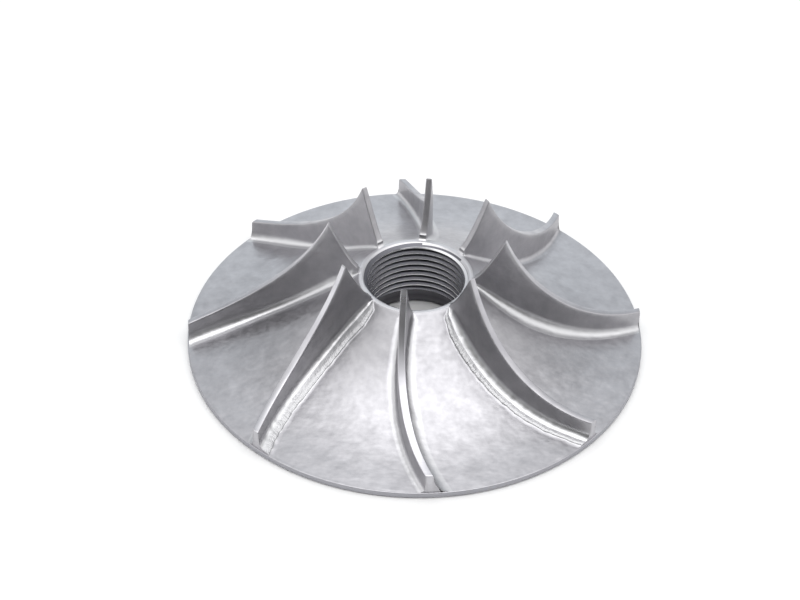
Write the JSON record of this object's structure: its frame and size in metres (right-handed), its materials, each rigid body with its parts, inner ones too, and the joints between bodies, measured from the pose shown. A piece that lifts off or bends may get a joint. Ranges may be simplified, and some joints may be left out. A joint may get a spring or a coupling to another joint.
{
  "type": "semi-open pump impeller",
  "caption": "Cast stainless steel semi-open impeller: curved upright vanes on a coned disc, round a threaded through bore that screws onto a pump shaft.",
  "frame": {"origin": "centre of the bore at the machined back face", "axes": "+Z along the bore axis towards the inlet, the side that carries the vanes; +X points along the tail of one vane, just short of it"},
  "size_m": [0.133, 0.133, 0.0394],
  "materials": {
    "cast_stainless": "satin as-cast passages with machined edges and rim"
  },
  "bodies": {
    "root": {"impeller_casting": "cast_stainless"}
  },
  "joints": []
}
